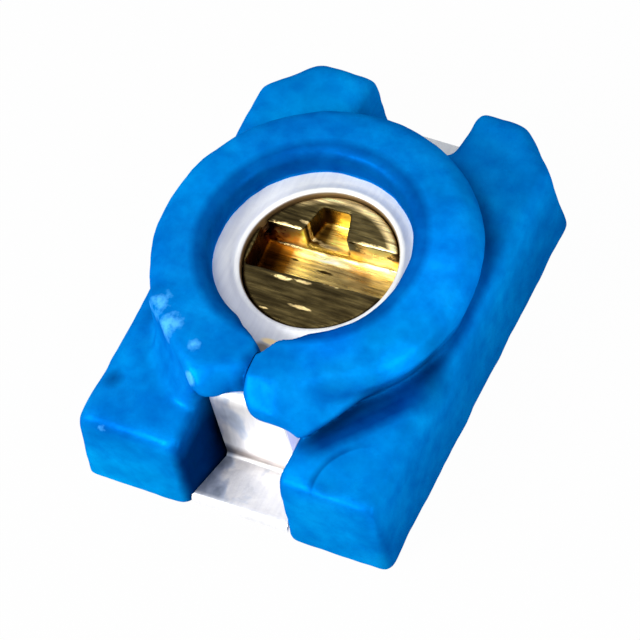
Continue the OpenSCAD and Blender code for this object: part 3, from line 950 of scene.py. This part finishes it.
def brass():
    """Painted highlights where the cutter ran and on the burrs, and a painted dim reflection on the
    hub's top.
    """
    material, tree, paint = shader_tree("brass")
    paint.inputs["Metallic"].default_value = 1
    place = object_place(tree, (1, 1, 1), (0, 0, -slot_turn))

    # Painted light and shade on the slot's floor: a highlight along its rear edge and brown shade
    # at its left end
    slot_tone = ramp(tree, along(tree, place, "Y", -0.22, 0.3), [
        (0.0, (0.1, 0.07, 0.02)), (0.12, (0.5, 0.37, 0.14)), (0.4, (0.34, 0.25, 0.09)),
        (0.66, (0.36, 0.26, 0.1)), (0.76, (0.5, 0.36, 0.14)), (0.84, (1.75, 1.4, 0.7)),
        (0.92, (1.5, 1.15, 0.5)), (0.97, (0.3, 0.18, 0.05))])
    left_end = ramp(tree, along(tree, place, "X", -0.7, 0.7), [
        (0.1, (0.09, 0.035, 0.004)), (0.19, (0.4, 0.22, 0.06)), (0.27, (1.4, 1.4, 1.35)),
        (0.42, (1.1, 1.1, 1.1)), (0.75, (0.75, 0.75, 0.8))])
    slot_tone = shaded(tree, 1.0, slot_tone, left_end)

    # Painted light and shade in the side arm: shaded brown on its left, lit gold on its right, with
    # shaded walls
    arm_tone = ramp(tree, along(tree, place, "X", -0.35, 0.2), [
        (0.1, (0.06, 0.025, 0.003)), (0.35, (0.14, 0.07, 0.01)), (0.5, (1.2, 0.8, 0.2)),
        (0.8, (1.4, 0.95, 0.28)), (0.95, (0.4, 0.26, 0.06))])
    arm_wall = along(tree, place, "Z", slot_floor + 0.07, slot_floor + 0.1)
    arm_tone = shaded(tree, arm_wall, arm_tone, (0.3, 0.3, 0.26))

    # Painted light and shade on the slot's rear wall: orange below and dark above
    wall_tone = ramp(tree, along(tree, place, "Z", slot_floor, hub_top), [
        (0.1, (1.1, 0.62, 0.1)), (0.45, (0.9, 0.48, 0.07)), (0.58, (0.05, 0.032, 0.01)),
        (0.9, (0.09, 0.06, 0.02))])
    left_tone = shaded(tree, 1.0, left_end, (0.6, 0.4, 0.08))
    on_left = along(tree, place, "X", 0, -0.2)
    wall_tone = mixed(tree, "MIX", on_left, wall_tone, left_tone)
    on_wall = along(tree, place, "Y", slot_rear - 0.015, slot_rear - 0.005)
    slot_tone = mixed(tree, "MIX", on_wall, slot_tone, wall_tone)
    in_arm = along(tree, place, "Y", slot_rear + 0.01, slot_rear + 0.04)
    low_tone = mixed(tree, "MIX", in_arm, slot_tone, arm_tone)

    # A painted dim reflection darkens the hub's top, with a painted highlight on its rim towards
    # the rear
    round_hub = object_place(tree, (1, 1, 0))
    rim_glint = ramp(tree, near(tree, round_hub, (-0.02, -0.03, 0), 1), [
        (0.28, (0.95, 0.72, 0.34)), (0.33, (0.1, 0.076, 0.03))])
    rearward = object_place(tree, (1, 1, 1), (0, 0, -62))
    at_rear = along(tree, rearward, "X", 0.2, 0.45)
    top_tone = mixed(tree, "MIX", at_rear, (0.07, 0.052, 0.02), rim_glint)
    on_top = along(tree, place, "Z", hub_top - 0.03, hub_top - 0.01)
    colour = mixed(tree, "MIX", on_top, low_tone, top_tone)

    # Painted glints on the burrs and edges, and dark marks: middle along X, place along Y, half
    # length
    stretched = object_place(tree, (1, 5, 0))
    ragged = noise(tree, object_place(tree, (1, 2, 1), (0, 0, 30)), 16, 3, 0.6)
    glint_gold, dark = (0.9, 0.68, 0.32), (0.03, 0.018, 0.005)
    marks = (
        (0.22, -0.175, 0.36, dark), (-0.4, 0.12, 0.12, dark), (-0.05, 0.08, 0.16, dark),
        (-0.48, 0.27, 0.28, glint_gold), (0.42, 0.31, 0.34, glint_gold), (-0.27, -0.28, 0.2, glint_gold),
        (0.2, -0.19, 0.28, glint_gold), (0.03, -0.53, 0.2, glint_gold), (-0.29, -0.645, 0.09, glint_gold),
        (-0.3, 0.36, 0.18, glint_gold), (-0.05, -0.26, 0.16, glint_gold), (-0.1, 0.33, 0.22, glint_gold))
    for middle, across, half, tone in marks:
        mark = near(tree, stretched, (middle, 5 * across, 0), half)
        share = ramp(tree, times(tree, mark, ragged), [(0.2, (0, 0, 0)), (0.32, (1, 1, 1))])
        colour = mixed(tree, "MIX", share, colour, tone)

    # Fine lines from the cutter and cloudy tarnish lie over all of it
    streaks = object_place(tree, (0.7, 9, 1), (0, 0, -4))
    lines = ramp(tree, noise(tree, streaks, 2.6, 4, 0.65), [
        (0.3, (0.3, 0.28, 0.25)), (0.5, (0.9, 0.9, 0.9)), (0.7, (1.9, 1.9, 1.9))])
    colour = shaded(tree, 1.0, colour, lines)
    mottle = ramp(tree, noise(tree, object_place(tree, (1, 2, 1)), 4, 3), [
        (0.35, (0.65, 0.63, 0.6)), (0.65, (1.35, 1.35, 1.3))])
    tree.links.new(shaded(tree, 1.0, colour, mottle), paint.inputs["Base Color"])
    vary_gloss(tree, paint, noise(tree, streaks, 5, 3), 0.22, 0.4)
    bumped(tree, paint, noise(tree, streaks, 3, 5, 0.7), 0.02, 0.6)
    return material


paint_with(rotor, brass())
finished(rotor, "rotor", "rotor", smooth=50)

# ---- Wave spring ------------------------------------------------------------------------------
# A thin bronze ring pressed into waves. It lies on the rotor's flange and presses up against the
# cover, so that the rotor stays flat on the ceramic and makes contact.


def wave_ring():
    outer, inner = spring_high.x, hole_rad + spring_gap
    middle = (spring_low.z + spring_high.z) / 2
    thick, waves = 0.04, 3
    swing = (spring_high.z - spring_low.z - thick) / 2
    section = [(inner, middle - thick / 2), (outer, middle - thick / 2),
               (outer, middle + thick / 2), (inner, middle + thick / 2)]
    piece = turned("spring", section, ring=True, facets=144)
    edit(piece, "VERT")
    mesh = bmesh.from_edit_mesh(piece.data)
    for corner in mesh.verts:
        corner.co.z += swing * math.cos(waves * math.atan2(corner.co.y, corner.co.x))
    bmesh.update_edit_mesh(piece.data)
    close_edit()
    return piece


def spring_bronze():
    material, tree, paint = shader_tree("spring_bronze")
    paint.inputs["Metallic"].default_value = 1
    place = object_place(tree)
    tone = ramp(tree, noise(tree, place, 4, 4), [
        (0.3, (0.55, 0.33, 0.16)), (0.7, (0.8, 0.53, 0.3))])
    tree.links.new(tone, paint.inputs["Base Color"])
    vary_gloss(tree, paint, noise(tree, place, 8, 3), 0.24, 0.4)
    bumped(tree, paint, noise(tree, place, 20, 3), 0.006, 0.5)
    return material


spring = wave_ring()
paint_with(spring, spring_bronze())
finished(spring, "case", "wave_spring")

# ---- Ceramic disc -----------------------------------------------------------------------------
# The fired ceramic disc between the two plates: ground flat on both faces, its edges broken, with
# the faint speckle of the fired body.


def ceramic_body():
    low, high, rad, broken = ceramic_low.z, ceramic_high.z, ceramic_high.x, 0.015
    section = [(rad - broken, low), (rad, low + broken), (rad, high - broken), (rad - broken, high)]
    return turned("ceramic", section)


def ceramic_glaze():
    material, tree, paint = shader_tree("ceramic")
    paint.inputs["Roughness"].default_value = 0.55
    place = object_place(tree)
    tone = ramp(tree, noise(tree, place, 14, 4, 0.7), [
        (0.35, (0.70, 0.62, 0.50)), (0.6, (0.84, 0.78, 0.67))])
    tree.links.new(tone, paint.inputs["Base Color"])
    bumped(tree, paint, noise(tree, place, 30, 3), 0.004, 0.5)
    return material


ceramic = ceramic_body()
paint_with(ceramic, ceramic_glaze())
finished(ceramic, "case", "ceramic_disc")

# ---- Fixed electrode and bond ------------------------------------------------------------------
# A half moon of silver is fired on to the disc's underside, and a round dab of silver-filled
# adhesive joins it to the fixed terminal's pad.
bond_low, bond_high = box_mm("conductive_bond")


def fired_film():
    """The film covers one half of the disc, and its rim thins out."""
    rad, low, high = film_high.x, film_low.z, film_high.z
    section = [(rad - 0.004, low), (rad, (low + high) / 2), (rad - 0.002, high)]
    piece = turned("electrode", section)
    slice_off(piece, (0, 0, 0), (0, -1, 0))
    combine(piece, turned("middle", [(bond_high.x, low), (bond_high.x, high)]), "UNION")
    return piece


def bond_dab():
    """The dab is squeezed flat, so its rim bulges."""
    rad, low, high = bond_high.x, bond_low.z, bond_high.z
    half = (high - low) / 2
    section = arc(rad - half, low + half, half, -90, 90)
    return turned("bond", section)


def dull_silver(name, dark, light, rough):
    material, tree, paint = shader_tree(name)
    paint.inputs["Metallic"].default_value = 0.8
    paint.inputs["Roughness"].default_value = rough
    place = object_place(tree)
    tone = ramp(tree, noise(tree, place, 9, 4, 0.65), [(0.3, dark), (0.7, light)])
    tree.links.new(tone, paint.inputs["Base Color"])
    bumped(tree, paint, noise(tree, place, 25, 3), 0.006, 0.6)
    return material


electrode = fired_film()
paint_with(electrode, dull_silver("fired_silver", (0.6, 0.59, 0.57), (0.8, 0.79, 0.77), 0.5))
finished(electrode, "case", "fixed_electrode")

bond = bond_dab()
paint_with(bond, dull_silver("silver_bond", (0.32, 0.31, 0.3), (0.5, 0.49, 0.47), 0.6))
finished(bond, "case", "conductive_bond")

# ---- Fixed terminal ---------------------------------------------------------------------------
# The second silver-plated strip is moulded into the floor: a round pad under the capacitor's
# disc, a rise through the plastic, and a foot in the rear notch.


def fixed_strip():
    """The foot's inner end is drawn up and inwards to the pad."""
    pad_low, pad_rad = floor_z - strip_t, 0.6
    piece = block("strip", (-foot_half, 1.67, 0), (foot_half, 2.265, strip_t))
    edit(piece)
    pick_faces(piece, lambda middle, normal: normal.y < -0.9)
    bpy.ops.mesh.extrude_region_move(TRANSFORM_OT_translate={"value": (0, -0.2, pad_low)})
    bpy.ops.mesh.extrude_region_move(TRANSFORM_OT_translate={"value": (0, -1.5, 0)})
    close_edit()
    combine(piece, turned("pad", [(pad_rad, pad_low), (pad_rad, floor_z)]), "UNION")
    return piece


fixed_terminal = fixed_strip()
paint_with(fixed_terminal, silver)
finished(fixed_terminal, "case", "fixed_terminal")
